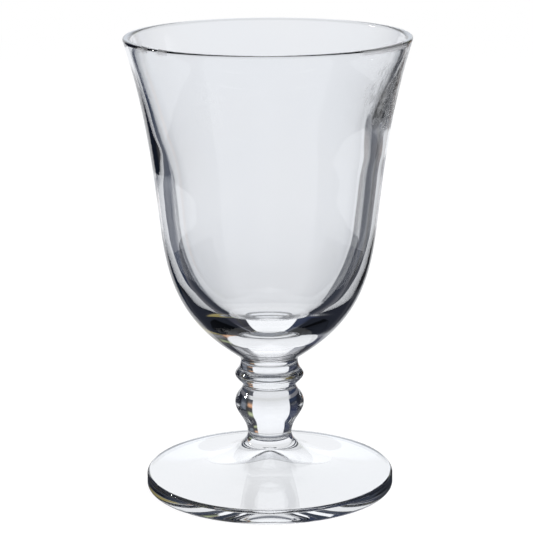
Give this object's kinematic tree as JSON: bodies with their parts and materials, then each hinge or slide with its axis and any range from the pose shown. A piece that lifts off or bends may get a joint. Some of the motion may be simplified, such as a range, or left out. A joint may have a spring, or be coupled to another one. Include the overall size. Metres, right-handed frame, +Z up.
{
  "type": "stemmed sake glass",
  "caption": "Small clear drinking glass: a flared bowl with a thick base on a ringed collar, a baluster knop and a round foot.",
  "frame": {"origin": "centre of the flat face that the foot stands on", "axes": "+Z up along the axis of revolution, from the foot to the rim; +X and +Y across the rim, with no preferred side"},
  "size_m": [0.0586, 0.0586, 0.095],
  "materials": {
    "bowl_glass": "clear, fire-polished, faint cool tint in the thick base",
    "stem_glass": "clear solid glass, fire-polished",
    "foot_glass": "clear, fire-polished, faint cool tint at the edge"
  },
  "bodies": {
    "root": {"bowl": "bowl_glass", "collar": "stem_glass", "knop": "stem_glass", "foot": "foot_glass"}
  },
  "joints": []
}
